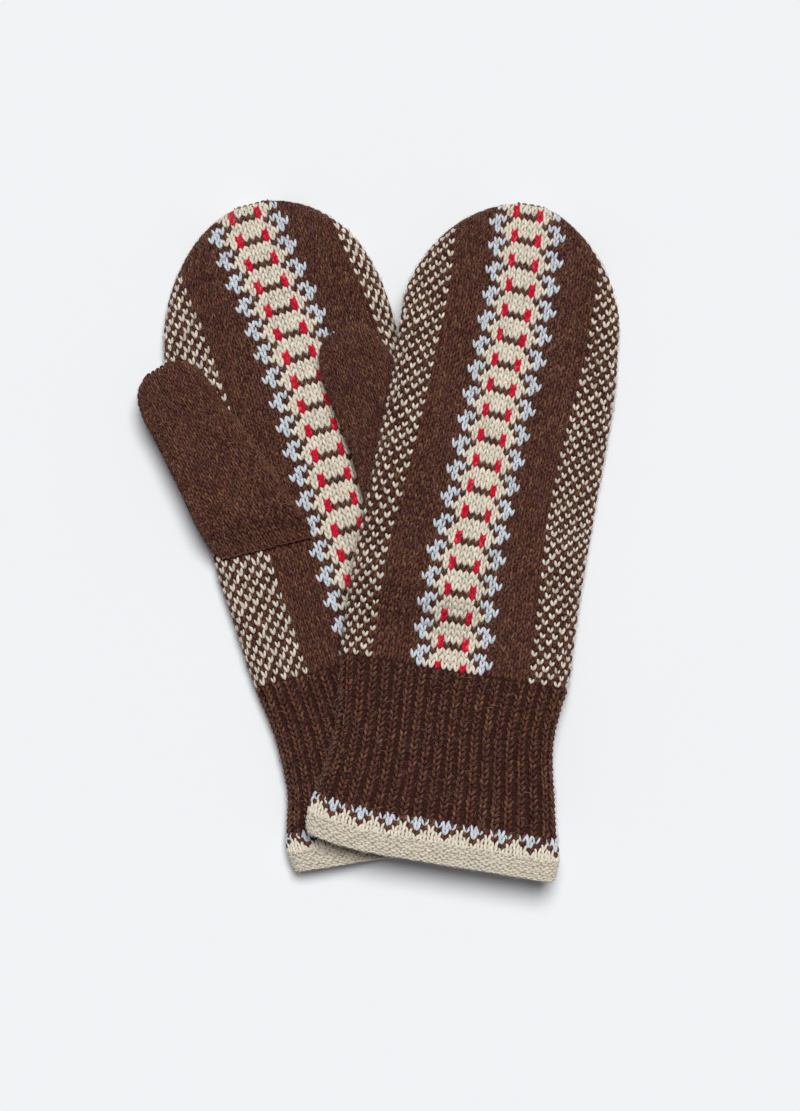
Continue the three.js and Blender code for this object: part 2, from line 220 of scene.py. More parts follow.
def hand_section(m, y, inside=False):
    """(reach to the thumb, reach to the little finger, fold radius, height of the middle) at y."""
    inset = WALL if inside else 0.0
    t = (y - m["shoulder"]) / (m["tip"] - inset - m["shoulder"])
    narrowed = np.where(t > 0, rounding(t, m["tip_shape"]), 1.0)
    shift = m["tip_shift"] * smooth(t)
    to_thumb = (along(m["widths"], y, 1) - inset) * narrowed - shift
    to_little = (along(m["widths"], y, 2) - inset) * narrowed + shift
    swell = smooth((m["edging_top"] + HEM_SWELL_ABOVE - y) / HEM_SWELL_OVER)
    extra = (HEM_THICKNESS - HAND_THICKNESS) * swell
    thick = (HAND_ROOM if inside else HAND_THICKNESS + extra) * fullness(t)
    middle = (HAND_THICKNESS + (0 if inside else extra)) / 2
    radius = np.maximum(np.minimum(thick / 2, (to_thumb + to_little) / 2), LEAST_RADIUS)
    return to_thumb, to_little, radius, middle


def round_skin(to_minus, to_plus, radius, face, s, h):
    """x and z of a point at s round a flattened tube, and h above its skin. face is 1 on top, -1 below."""
    flat = np.maximum(np.where(s > 0, to_plus, to_minus) - radius, 0)
    centre_shift = np.where(to_plus + to_minus < 2 * radius, (to_plus - to_minus) / 2, 0)
    side = np.where(s > 0, 1.0, -1.0)
    angle = np.minimum(np.maximum(np.abs(s) - flat, 0) / radius, FOLD_TURN)
    x = centre_shift + side * (np.minimum(np.abs(s), flat) + (radius + h) * np.sin(angle))
    z = face * (radius + h) * np.cos(angle)
    return x, z


def tucked(y, h, tip):
    """Turns what reaches past a tip down over its edge: (y to read the section at, y, height)."""
    edge = tip - TIP_TUCK
    past = np.maximum(y - edge, 0)
    shown = np.minimum(y, edge)
    return shown, shown + TUCK_REACH * TIP_TUCK * (1 - np.exp(-past)), h - past


def on_hand(m, face, s, y, h, inside=False):
    """A point on the hand, cuff or edging, in the mitten's axes."""
    read_at, y, h = tucked(y, h, m["tip"] - (WALL if inside else 0.0))
    to_thumb, to_little, radius, middle = hand_section(m, read_at, inside)
    x, z = round_skin(to_thumb, to_little, radius, face, s, h)
    tilt = m["hem_slope"] * smooth((m["cuff_top"] - y) / TILT_LENGTH)
    curled = (np.maximum(CURL_FROM - x, 0) / CURL_OVER) ** 2
    curl = m["hem_curl"] * curled * smooth((m["cuff_top"] - CURL_BELOW - y) / CURL_LENGTH)
    return np.stack([x, y - tilt * x + curl, middle + z + lie_height(m, x, y)], -1)


def hand_skin_reach(m, y, side, inside=False):
    """How far round the skin it is from x = 0 to the fold on one side, at y."""
    to_thumb, to_little, radius, _ = hand_section(m, y, inside)
    reach = to_little if side > 0 else to_thumb
    return np.maximum(reach - radius, 0) + radius * math.pi / 2


def hand_reaches(m, y, inside=False):
    """How far round the skin the two folds are, at one height."""
    return [float(hand_skin_reach(m, np.array(y), side, inside)) for side in (-1, 1)]


def hem_reaches(m, y):
    return hand_reaches(m, max(y, m["hem_end"] + HEM_ROLL))


def on_hem(m, face, s, y, h):
    """A point on the hem. Below its edge, y goes on round the rounded edge and up the inside."""
    centre = m["hem_end"] + HEM_ROLL
    past = np.maximum(centre - y, 0)
    turn = np.minimum(past / HEM_ROLL, math.pi)
    back_up = np.maximum(past - math.pi * HEM_ROLL, 0)
    radius = HEM_ROLL + h
    shown = np.maximum(y, centre) - radius * np.sin(turn) + back_up
    drawn_in = 1 - CORNER_SHARE * smooth((centre + HEM_ROLL - shown) / (2 * HEM_ROLL))
    return on_hand(m, face, s * drawn_in, shown, radius * np.cos(turn) - HEM_ROLL)


def thumb_section(m, y):
    """(half width, fold radius, height of the middle) of the thumb at y along it."""
    t = (y - THUMB_SHOULDER) / (m["thumb_length"] - THUMB_SHOULDER)
    narrowed = np.where(t > 0, rounding(t, THUMB_TIP_SHAPE), 1.0)
    narrowed = narrowed * (1 - ROOT_NARROWING * smooth((TUCK_FROM - y) / TUCK_OVER))
    half = m["thumb_half"] * along(m["thumb_widths"], y, 1) * narrowed
    drawn_in = m["tuck_share"] * (1 - smooth((y - ROOT_END) / m["tuck_length"]))
    thick = THUMB_THICKNESS * fullness(t) * (1 - drawn_in)
    radius = np.maximum(np.minimum(thick / 2, half), LEAST_RADIUS)
    towards = THUMB_THICKNESS / 2 * drawn_in * (1 if m["tuck_up"] else -1)
    return half, radius, THUMB_FLOOR + THUMB_THICKNESS / 2 + towards


def on_thumb(m, face, s, y, h):
    """A point on the thumb, from the thumb's own s and y to the mitten's axes."""
    read_at, y, h = tucked(y, h, m["thumb_length"])
    half, radius, middle = thumb_section(m, read_at)
    x, z = round_skin(half, half, radius, face, s, h)
    slope = ROOT_SLOPE * smooth((SLOPE_END - y) / SLOPE_OVER)
    x, y = turned(m["thumb_root"], m["thumb_lean"], x, y - slope * x)
    return np.stack([x, y, middle + z], -1)


def thumb_skin_reach(m, y):
    half, radius, _ = thumb_section(m, y)
    return np.maximum(half - radius, 0) + radius * math.pi / 2


def to_world(m, points):
    """From a mitten's axes in millimetres to the row frame in metres."""
    east, north = turned(m["centre"], m["lean"], points[..., 0], points[..., 1])
    return np.stack([east, north, points[..., 2]], -1) * MM


# -------------------- yarn shapes
Shape = namedtuple("Shape", "points quads triangles fibre")
Laid = namedtuple("Laid", "shape points mirror material")
PERIMETER = 3.6            # of a yarn, in millimetres: what its fibres are measured round
TWIST = 0.5                # how steeply the fibres wind round the yarn
WANDER = 0.07              # how far a stitch strays from its place, and how unevenly stitches grow
UNEVEN = 0.05
SPECKLE_WANDER = 0.11
SPECKLE_UNEVEN = 0.12
HEM_WANDER = 0.14
FIBRE_STRETCH = 97         # how far apart the copies of a stitch lie in the fibres' noise
HAIR_RADIUS = 0.032
HAIR_LENGTHS = (0.5, 1.5)  # how a fibre's length and height vary
HAIR_HEIGHTS = (0.2, 2.0)
LOW_HAIR = 0.4             # how much lower the fibres stand that the mitten lies on
HAIR_ROOT_DEPTH = 0.2


def strand(path, radii, sides=6):
    """A yarn along a path of (across, along, up) points in millimetres, pointed at both ends."""
    path = np.array(path, float)
    direction = np.gradient(path, axis=0)
    direction /= np.linalg.norm(direction, axis=1)[:, None]
    across = np.cross(direction, [0, 0, 1.0])
    across /= np.linalg.norm(across, axis=1)[:, None]
    rise = np.cross(across, direction)
    turn = (np.arange(sides) - 1) * 2 * math.pi / sides
    ring = across[:, None] * np.cos(turn)[:, None] + rise[:, None] * np.sin(turn)[:, None]
    rings = path[1:-1, None] + ring[1:-1] * np.array(radii)[:, None, None]
    points = np.concatenate([path[:1], rings.reshape(-1, 3), path[-1:]])
    count = len(radii)
    i = np.arange(sides)
    j = (i + 1) % sides
    starts = [1 + k * sides for k in range(count)]
    quads = np.concatenate([
        np.stack([here + i, after + i, after + j, here + j], -1) for here, after in zip(starts, starts[1:])
    ])
    end = starts[-1]
    first_cap = np.stack([0 * i, 1 + i, 1 + j], -1)
    last_cap = np.stack([0 * i + end + sides, end + j, end + i], -1)
    length = np.concatenate([[0], np.cumsum(np.linalg.norm(np.diff(path, axis=0), axis=1))])
    lengths = np.concatenate([length[:1], np.repeat(length[1:-1], sides), length[-1:]])
    around = np.concatenate([[0.5], np.tile(i / sides, count), [0.5]]) * PERIMETER
    fibre = np.stack([lengths, around + TWIST * lengths, np.zeros(len(lengths))], -1)
    return Shape(points, quads, np.concatenate([first_cap, last_cap]), fibre)


def lowered(shape):
    """The same shape with its highest point at YARN_TOP."""
    points = shape.points.copy()
    points[:, 2] += YARN_TOP - points[:, 2].max()
    return shape._replace(points=points)


def knit_leg(side, fat, spread):
    """One leg of a knit stitch: a pointed grain of yarn that leans outwards from the foot of the V."""
    path = [(0.02, -0.38, -0.66), (0.10, -0.12, -0.18), (0.22, 0.28, 0.0), (0.31, 0.70, -0.06),
            (0.38, 1.06, -0.46), (0.41, 1.30, -1.0)]
    path = [(side * a * spread * STITCH, b * ROW, c) for a, b, c in path]
    return lowered(strand(path, [r * fat for r in (0.38, 0.60, 0.59, 0.38)]))


def knit(fat=1.0, spread=1.0):
    return [knit_leg(side, fat, spread) for side in (-1, 1)]


def rib_leg(side):
    """One leg of a knit stitch in the rib, drawn out sideways over most of the column's width."""
    path = [(0.12, -1.2, -1.3), (0.34, -0.55, -0.2), (0.74, 0.35, 0.0), (1.12, 1.25, -0.35),
            (1.38, 1.9, -1.1), (1.46, 2.3, -2.0)]
    return lowered(strand([(side * a, b, c) for a, b, c in path], (0.46, 0.74, 0.70, 0.42)))


def purl_arch(width, row, bend, radius):
    """One arch of a purl stitch: a short bump across the fabric, with its ends tucked in."""
    path = [(-0.48, -0.34, -1.1), (-0.36, -0.20, -0.34), (-0.14, 0.06, 0.0), (0.14, 0.06, 0.0),
            (0.36, -0.20, -0.34), (0.48, -0.34, -1.1)]
    path = [(a * width, bend * b * row, c) for a, b, c in path]
    return lowered(strand(path, (0.78 * radius, radius, radius, 0.78 * radius)))


def fibre_hair(bend):
    """A stray fibre that leaves the yarn, arches over it and ends in the air."""
    path = [(0, 0, -0.5), (0.5, 0.1 * bend, 0.15), (1.5, 0.45 * bend, 0.42), (2.5, 0.9 * bend, 0.5)]
    return strand(path, (HAIR_RADIUS, HAIR_RADIUS), sides=3)


KNIT = knit()
SLIM_KNIT = knit(fat=0.84)
SOFT_KNIT = knit(fat=0.98)
WING_KNIT = knit(fat=0.82, spread=1.3)
SOLID_KNIT = knit(fat=1.3, spread=0.88)
RIB = [rib_leg(-1), rib_leg(1)]
GROOVE = [purl_arch(1.9, 1.6, 1, radius=0.42)]
PURL_HEAD = [purl_arch(2.75, PURL_ROW, 1, radius=0.60)]
PURL_FOOT = [purl_arch(2.75, PURL_ROW, -1, radius=0.60)]
ROOT_ARCH = [purl_arch(2.9, 1.8, 1, radius=0.50)]
HAIRS = [fibre_hair(-1), fibre_hair(0.3), fibre_hair(1)]


def lay(place, shapes, s, y, rng, across=1.0, rise=1.0, depth=0.0, wander=WANDER, uneven=UNEVEN,
        mirror=False, material=0):
    """Lays a copy of each shape on a skin at each (s, y), each a little out of its place."""
    laid = []
    across = np.broadcast_to(across, s.shape)[:, None]
    for shape in shapes:
        moved = rng.normal(0, wander, (len(s), 3))
        grown = rng.normal(1, uneven, (len(s), 1))
        a = s[:, None] + shape.points[None, :, 0] * across * grown + moved[:, 0:1]
        b = y[:, None] + shape.points[None, :, 1] * rise * grown + moved[:, 1:2]
        h = shape.points[None, :, 2] - depth - np.abs(moved[:, 2:3])
        laid.append(Laid(shape, place(a, b, h), mirror, material))
    return laid


def lay_hairs(place, s, y, rng, mirror=False):
    """Scatters stray fibres at each (s, y), turned every way and of many lengths."""
    laid = []
    kind = rng.integers(0, len(HAIRS), len(s))
    for k, shape in enumerate(HAIRS):
        mine = kind == k
        turn = rng.uniform(0, 2 * math.pi, (mine.sum(), 1))
        length = rng.uniform(*HAIR_LENGTHS, (mine.sum(), 1))
        height = rng.uniform(*HAIR_HEIGHTS, (mine.sum(), 1)) * (LOW_HAIR if mirror else 1.0)
        x, z = shape.points[None, :, 0] * length, shape.points[None, :, 1] * length
        a = s[mine][:, None] + x * np.cos(turn) - z * np.sin(turn)
        b = y[mine][:, None] + x * np.sin(turn) + z * np.cos(turn)
        raised = np.where(shape.points[None, :, 2] > 0, height, 1.0)
        h = raised * shape.points[None, :, 2] - HAIR_ROOT_DEPTH
        points = place(a, b, h)
        points[..., 2] = np.maximum(points[..., 2], 0)
        laid.append(Laid(shape, points, mirror, 0))
    return laid


def add_piece(name, mesh, materials):
    for material in materials:
        mesh.materials.append(material)
    mesh.update()
    piece = bpy.data.objects.new(name, mesh)
    bpy.context.scene.collection.objects.link(piece)
    return piece


def add_attribute(mesh, name, kind, values):
    layer = mesh.attributes.new(name, kind, "POINT")
    field = "vector" if kind == "FLOAT_VECTOR" else "value"
    layer.data.foreach_set(field, values.astype(np.float32).ravel())


def make_mesh(name, m, laid, materials, seed=1):
    """One piece from laid shapes. Each copy gets a tone of its own and its own stretch of fibres."""
    rng = np.random.default_rng(seed)
    laid = [part for part in laid if len(part.points)]
    points, loops, totals, slots, fibres, tones = [], [], [], [], [], []
    offset = 0
    for part in laid:
        copies, size = part.points.shape[:2]
        base = (np.arange(copies) * size + offset)[:, None, None]
        for faces in (part.shape.quads, part.shape.triangles):
            order = faces[:, ::-1] if part.mirror else faces
            loops.append((base + order[None]).reshape(-1))
            totals.append(np.full(copies * len(faces), faces.shape[1]))
            slots.append(np.full(copies * len(faces), part.material))
        own = rng.random(copies)
        fibre = np.tile(part.shape.fibre, (copies, 1))
        fibre[:, 2] += np.repeat(own * FIBRE_STRETCH, size)
        points.append(to_world(m, part.points).reshape(-1, 3))
        fibres.append(fibre)
        tones.append(np.repeat(rng.random(copies), size))
        offset += copies * size
    totals = np.concatenate(totals)
    mesh = bpy.data.meshes.new(name)
    mesh.vertices.add(offset)
    mesh.vertices.foreach_set("co", np.concatenate(points).astype(np.float32).ravel())
    mesh.loops.add(int(totals.sum()))
    mesh.loops.foreach_set("vertex_index", np.concatenate(loops).astype(np.int32))
    mesh.polygons.add(len(totals))
    mesh.polygons.foreach_set("loop_start", np.concatenate([[0], np.cumsum(totals)[:-1]]).astype(np.int32))
    mesh.polygons.foreach_set("use_smooth", np.ones(len(totals), bool))
    mesh.polygons.foreach_set("material_index", np.concatenate(slots).astype(np.int32))
    add_attribute(mesh, "fibre", "FLOAT_VECTOR", np.concatenate(fibres))
    add_attribute(mesh, "tone", "FLOAT", np.concatenate(tones))
    return add_piece(name, mesh, materials)


# -------------------- materials
BROWN = (0.078, 0.0276, 0.0188)
OCHRE = (0.19, 0.115, 0.034)
PLUM = (0.085, 0.024, 0.034)
GREY_BROWN = (0.17, 0.105, 0.08)
CREAM = (0.71, 0.65, 0.53)
HEM_CREAM = (0.62, 0.565, 0.455)
# cream painted dark, as the shade between the ladder's stitches
SHADED_CREAM = (0.33, 0.31, 0.24)
BLUE = (0.545, 0.61, 0.65)
RED = (0.50, 0.006, 0.028)
PALE_PINK = (0.70, 0.56, 0.48)
PALE_GREEN = (0.58, 0.60, 0.47)
PALE_VIOLET = (0.64, 0.60, 0.70)
LIGHT_RED = (0.70, 0.10, 0.12)
PALE_HAIR = (0.45, 0.33, 0.27)
RUSTY_HAIR = (0.34, 0.14, 0.09)
WHITE_HAIR = (0.8, 0.76, 0.68)


class Nodes:
    """A small helper that adds and links shader nodes."""

    def __init__(self, name):
        self.material = bpy.data.materials.new(name)
        self.material.use_nodes = True
        self.tree = self.material.node_tree
        self.shader = self.tree.nodes["Principled BSDF"]

    def add(self, kind, **settings):
        node = self.tree.nodes.new(kind)
        for key, value in settings.items():
            if key in node.inputs:
                node.inputs[key].default_value = value
            else:
                setattr(node, key, value)
        return node

    def link(self, source, target):
        self.tree.links.new(source, target)

    def attribute(self, name, output):
        return self.add("ShaderNodeAttribute", attribute_name=name).outputs[output]

    def noise(self, vector, stretch, shift=0.0, detail=2.0):
        """Noise over a vector in millimetres; stretch is how many grains there are to a millimetre."""
        mapped = self.add("ShaderNodeMapping", Scale=stretch, Location=(shift, shift, shift))
        noise = self.add("ShaderNodeTexNoise", Scale=1.0, Detail=detail, Roughness=0.6)
        self.link(vector, mapped.inputs["Vector"])
        self.link(mapped.outputs["Vector"], noise.inputs["Vector"])
        return noise.outputs["Fac"]

    def ramp(self, factor, stops):
        node = self.add("ShaderNodeValToRGB")
        elements = node.color_ramp.elements
        while len(elements) < len(stops):
            elements.new(0.5)
        for element, (place, color) in zip(elements, stops):
            element.position = place
            element.color = tuple(color) + (1.0,)
        self.link(factor, node.inputs["Fac"])
        return node.outputs["Color"]

    def mix(self, factor, a, b, blend="MIX"):
        node = self.add("ShaderNodeMix", data_type="RGBA", blend_type=blend)
        for socket, value in ((node.inputs["Factor"], factor), (node.inputs[6], a), (node.inputs[7], b)):
            if hasattr(value, "links"):
                self.link(value, socket)
            elif isinstance(value, tuple):
                socket.default_value = value + (1.0,)
            else:
                socket.default_value = value
        return node.outputs[2]

    def bump(self, height, strength, distance):
        node = self.add("ShaderNodeBump", Strength=strength, Distance=distance * MM)
        self.link(height, node.inputs["Height"])
        self.link(node.outputs["Normal"], self.shader.inputs["Normal"])


def times(color, factor):
    return tuple(min(c * factor, 1.0) for c in color)


def wool(name, base, flecks, contrast, tone, behind=None, tints=None):
    """Woollen yarn: streaks of fibre along each stitch, flecks of other colours, a tone for each stitch
    and a soft sheen. flecks are (colour, how much of the noise they leave out, grains to a millimetre).
    tints are two colours that whole stitches lean towards."""
    n = Nodes(name)
    fibre = n.attribute("fibre", "Vector")
    streaks = n.noise(fibre, (0.75, 2.6, 1.0))
    color = n.ramp(streaks, [
        (0.36, times(base, 1 - contrast)), (0.50, base), (0.66, times(base, 1 + 1.6 * contrast)),
    ])
    if tints:
        lean = n.noise(fibre, (0.22, 0.3, 1.0), shift=31.0, detail=1.0)
        lean = n.ramp(lean, [(0.36, tints[0]), (0.50, (1, 1, 1)), (0.64, tints[1])])
        color = n.mix(1.0, color, lean, "MULTIPLY")
    # where light yarn lies behind the wall, it takes that yarn painted dark as shade
    if behind:
        color = n.mix(n.attribute("pale", "Fac"), color, behind)
    for i, (fleck, threshold, grain) in enumerate(flecks):
        patch = n.noise(fibre, (0.45 * grain, grain, 1.0), shift=7.0 + 11.0 * i, detail=1.0)
        mask = n.ramp(patch, [(threshold - 0.04, (0, 0, 0)), (threshold + 0.06, (0.75, 0.75, 0.75))])
        color = n.mix(mask, color, fleck)
    spread = n.add("ShaderNodeMapRange")
    spread.inputs["To Min"].default_value = 1.0 - tone
    spread.inputs["To Max"].default_value = 1.0 + tone
    n.link(n.attribute("tone", "Fac"), spread.inputs["Value"])
    color = n.mix(1.0, color, spread.outputs["Result"], "MULTIPLY")
    n.link(color, n.shader.inputs["Base Color"])
    n.shader.inputs["Roughness"].default_value = 0.95
    n.shader.inputs["Specular IOR Level"].default_value = 0.10
    n.shader.inputs["Sheen Weight"].default_value = 0.12
    n.shader.inputs["Sheen Roughness"].default_value = 0.5
    n.shader.inputs["Sheen Tint"].default_value = times(base, 3.0) + (1.0,)
    n.bump(streaks, 0.55, 0.35)
    return n.material


def hair_wool(name, shades):
    """Stray fibres, each of one colour out of a few."""
    n = Nodes(name)
    stops = [(i / len(shades), shade) for i, shade in enumerate(shades)]
    color = n.ramp(n.attribute("tone", "Fac"), stops)
    n.link(color, n.shader.inputs["Base Color"])
    n.shader.inputs["Roughness"].default_value = 0.8
    n.shader.inputs["Sheen Weight"].default_value = 0.3
    return n.material


BROWN_FLECKS = [(OCHRE, 0.64, 1.0), (PLUM, 0.64, 0.9), (GREY_BROWN, 0.64, 1.9)]
BROWN_TINTS = [(0.78, 0.66, 0.95), (1.16, 1.36, 1.05)]
CREAM_FLECKS = [(PALE_PINK, 0.62, 0.9), (PALE_GREEN, 0.62, 0.8)]
WOOL = {
    "brown": wool("brown_wool", BROWN, BROWN_FLECKS, contrast=0.75, tone=0.28, tints=BROWN_TINTS),
    "cream": wool("cream_wool", CREAM, CREAM_FLECKS, contrast=0.12, tone=0.06),
    "blue": wool("light_blue_wool", BLUE, [(PALE_VIOLET, 0.60, 0.8)], contrast=0.12, tone=0.07),
    # the purl stitches in the rib's grooves: the same brown at 0.40, painted shade
    "sunk": wool("shaded_groove_wool", times(BROWN, 0.40), [], contrast=0.5, tone=0.2),
    "speckle": wool("speckle_wool", times(CREAM, 0.85), CREAM_FLECKS, contrast=0.18, tone=0.18),
    "red": wool("red_wool", RED, [(LIGHT_RED, 0.60, 0.9)], contrast=0.25, tone=0.12),
    "hem": wool("hem_cream_wool", HEM_CREAM, CREAM_FLECKS, contrast=0.14, tone=0.06),
    # the wall seen between the stitches and inside the hand: the brown at 0.42, painted shade
    "skin": wool("painted_shade_wall_wool", times(BROWN, 0.42), [], contrast=0.4, tone=0.0, behind=SHADED_CREAM),
    # the wall behind the hem's stitches and inside the wrist: the hem's cream at 0.45, painted shade
    "hem_skin": wool("painted_shade_hem_wall_wool", times(HEM_CREAM, 0.45), CREAM_FLECKS, contrast=0.2, tone=0.0),
}
BROWN_HAIR = hair_wool("brown_hair", [
    times(BROWN, 1.5), times(BROWN, 2.5), GREY_BROWN, PALE_HAIR, RUSTY_HAIR, OCHRE,
])
CREAM_HAIR = hair_wool("cream_hair", [CREAM, HEM_CREAM, WHITE_HAIR])

# The colourwork chart: one repeat of four rows, from the bottom row up, for the columns 0 to 6 away from
# the middle of the ladder. n is brown, c cream, r red and b light blue. The edging repeats every four
# columns, and its chart gives the columns 0, 1 and 2 away from the middle of a motif.
LADDER = ["nnrcnnn", "ccrccbn", "ccccnbb", "cccnbbn"]
EDGING = ["ccc", "ncc", "bnc", "bbn"]
YARN_OF = {"n": "brown", "c": "cream", "r": "red", "b": "blue"}
PATTERN_YARNS = ["cream", "blue", "red", "speckle"]
PATTERN = {"cream": (KNIT, 0), "speckle": (KNIT, 3), "blue": (KNIT, 1), "red": (SOLID_KNIT, 2)}


# -------------------- the hand
SPECKLED_FROM = {"back": (13, 13), "palm": (14, 15)}   # first column on the thumb's side, and on the other
STITCH_MIDDLE = 0.35       # where in its row a stitch's middle lies
ROW_TOP = 0.6              # how much of a row has to fit below the tip
EDGE_MARGIN = 0.25         # of a stitch, that has to be left to the fold's end
MOST_COLUMNS = 27          # to each side of the ladder's middle
NARROWEST = 1.6            # limits to the width of a stitch
WIDEST = 3.4
GROUND_DEPTH = 0.03        # how much deeper the brown ground lies than the pattern


def hand_chart(palm, column, row):
    """The yarn of the stitch in that column from the middle of the ladder and that row over the cuff."""
    away = abs(column)
    if away < len(LADDER[0]):
        return YARN_OF[LADDER[(row + 1) % len(LADDER)][away]]
    first = SPECKLED_FROM["palm" if palm else "back"][0 if column < 0 else 1]
    if away >= first and (away - first + row) % 2 == 0:
        return "speckle"
    return "brown"


def row_height(m, row):
    return m["cuff_top"] + FIRST_ROW * row - TIGHTENING * row**2


def hand_columns(m, palm, y, side, count):
    """Distances round the skin of the columns on one side of the ladder, at the height y."""
    gauge = PALM_GAUGE if palm else BACK_GAUGE
    middle = float(along(gauge, y, 1))
    width = float(along(gauge, y, 2 if side < 0 else 3))
    swell = PALM_SWELL[side] if palm else 0.0

    def ideal(k):
        wave = np.sin(math.pi * np.minimum(k, SWELL_COLUMNS) / SWELL_COLUMNS)
        return middle + side * (width * k + swell * wave)

    body = min(y, m["shoulder"])
    reach = side * float(hand_skin_reach(m, np.array(body), side))
    whole = int(round((reach - middle) * side / width))
    slack = reach - ideal(whole)
    return ideal(count) + slack * smooth((count - whole + FOLD_COLUMNS) / FOLD_COLUMNS)


def back_row_slope(y):
    begins = smooth((y - ROW_SLOPE_FROM) / ROW_SLOPE_OVER)
    ends = smooth((ROW_SLOPE_END - y) / ROW_SLOPE_FADE)
    return BACK_ROW_SLOPE * float(begins * ends)


def hand_stitches(m, palm):
    """Every stitch of one face of the hand: {yarn: rows of (s, y, width)}."""
    found = {}
    row = 0
    while row_height(m, row + ROW_TOP) < m["tip"]:
        y = row_height(m, row + STITCH_MIDDLE)
        middle = float(along(PALM_GAUGE if palm else BACK_GAUGE, y, 1))
        slope = 0.0 if palm else back_row_slope(y)
        for side in (-1, 1):
            columns = np.arange(MOST_COLUMNS)
            places = hand_columns(m, palm, y, side, columns)
            widths = np.abs(np.gradient(places))
            heights = y + slope * (places - middle)
            edges = hand_skin_reach(m, np.clip(heights + 0.5 * ROW, None, m["tip"]), side)
            for column, s, width, height, edge in zip(columns, places, widths, heights, edges):
                if side * s > edge - EDGE_MARGIN * STITCH or (column == 0 and side < 0):
                    continue
                yarn = hand_chart(palm, side * column, row)
                found.setdefault(yarn, []).append((s, height, np.clip(width, NARROWEST, WIDEST)))
        row += 1
    return {yarn: np.array(stitches) for yarn, stitches in found.items()}


def make_hand(m):
    """Brown ground and coloured pattern, each face of the hand apart."""
    pieces = []
    rng = np.random.default_rng(11)
    for face in (1, -1):
        side = "palm" if (face > 0) == m["palm_up"] else "back"
        place = partial(on_hand, m, face)
        stitches = hand_stitches(m, side == "palm")
        pattern = []
        for yarn, (shapes, material) in PATTERN.items():
            s, y, width = stitches[yarn].T
            speckled = yarn == "speckle"
            rise = m["speckle_rise"] if speckled else 1.0
            wander, uneven = (SPECKLE_WANDER, SPECKLE_UNEVEN) if speckled else (WANDER, UNEVEN)
            pattern += lay(place, shapes, s, y, rng, across=width / STITCH, rise=rise, wander=wander,
                           uneven=uneven, mirror=face < 0, material=material)
        s, y, width = stitches["brown"].T
        ground = lay(place, SOFT_KNIT, s, y, rng, across=width / STITCH, depth=GROUND_DEPTH,
                     mirror=face < 0)
        name = f"{m['name']}_hand_{side}"
        pieces.append(make_mesh(f"{name}_brown", m, ground, [WOOL["brown"]]))
        wools = [WOOL[yarn] for yarn in PATTERN_YARNS]
        pieces.append(make_mesh(f"{name}_pattern", m, pattern, wools, seed=2))
    return pieces


# -------------------- cuff, edging and hem
BAND_MIDDLE = 0.3          # where in its row a stitch of a band has its middle
RIBS = 20
GROOVE_DEPTH = 1.55
RIB_OVERLAP = 1.0          # how far the rib goes on behind the edging
EDGING_COLUMNS = 38
EDGING_YARNS = ["cream", "blue", "brown"]
EDGING_KINDS = {
    "cream": (SLIM_KNIT, 1.0, 0),
    "blue": (KNIT, 1.0, 1),
    "wing": (WING_KNIT, 0.80, 1),
    "brown": (SOLID_KNIT, 0.9, 2),
}
EDGING_BELOW = 0.6         # how far the edging's rows go past its ends
EDGING_ABOVE = 0.4
HEM_ABOVE = 0.6            # how far the hem's first row starts over its top
PURL_ASIDE = 0.25          # of a column, that the first purl stitch stands in from the fold


def band_grid(m, low, high, rows, columns):
    """Places (s, y, width) for rows and columns of stitches that fill one face of a band."""
    ys = low + (np.arange(rows) + BAND_MIDDLE) * (high - low) / rows
    left = hand_skin_reach(m, ys, -1)
    right = hand_skin_reach(m, ys, 1)
    width = (left + right) / columns
    s = -left[:, None] + (np.arange(columns)[None, :] + 0.5) * width[:, None]
    return s, np.broadcast_to(ys[:, None], s.shape), np.broadcast_to(width[:, None], s.shape)


def make_cuff(m):
    """The 1 by 1 rib: raised knit columns, with the purl columns sunk between them and their brown painted
    darker as shade.
    """
    rng = np.random.default_rng(12)
    laid = []
    low = m["edging_top"] - RIB_OVERLAP
    rows = round((m["cuff_top"] - m["edging_top"] + RIB_OVERLAP) / RIB_ROW)
    for face in (1, -1):
        place = partial(on_hand, m, face)
        s, y, width = band_grid(m, low, m["cuff_top"], rows, RIBS)
        s, y, width = s.ravel(), y.ravel(), width.ravel()
        laid += lay(place, RIB, s, y, rng, across=width / RIB_STITCH, mirror=face < 0)
        laid += lay(place, GROOVE, s + width / 2, y, rng, depth=GROOVE_DEPTH, mirror=face < 0, material=1)
    return [make_mesh(f"{m['name']}_cuff_rib", m, laid, [WOOL["brown"], WOOL["sunk"]])]


def make_edging(m):
    """Four rows of colourwork between the rib and the hem."""
    rng = np.random.default_rng(13)
    found = {}
    laid = []
    low, high = m["hem_top"] - EDGING_BELOW, m["edging_top"] + EDGING_ABOVE
    s, y, width = band_grid(m, low, high, len(EDGING), EDGING_COLUMNS)
    for row, chart in enumerate(EDGING):
        for column in range(EDGING_COLUMNS):
            away = abs((column + 1) % 4 - 1)
            stitch = (s[row, column], y[row, column], width[row, column])
            kind = "wing" if away == 1 and chart[away] == "b" else YARN_OF[chart[away]]
            found.setdefault(kind, []).append(stitch)
    for face in (1, -1):
        for kind, (shapes, rise, material) in EDGING_KINDS.items():
            s, y, width = np.array(found[kind]).T
            laid += lay(partial(on_hand, m, face), shapes, s, y, rng, across=width / STITCH,
                        rise=rise, mirror=face < 0, material=material)
    wools = [WOOL[yarn] for yarn in EDGING_YARNS]
    return [make_mesh(f"{m['name']}_edging_rows", m, laid, wools)]


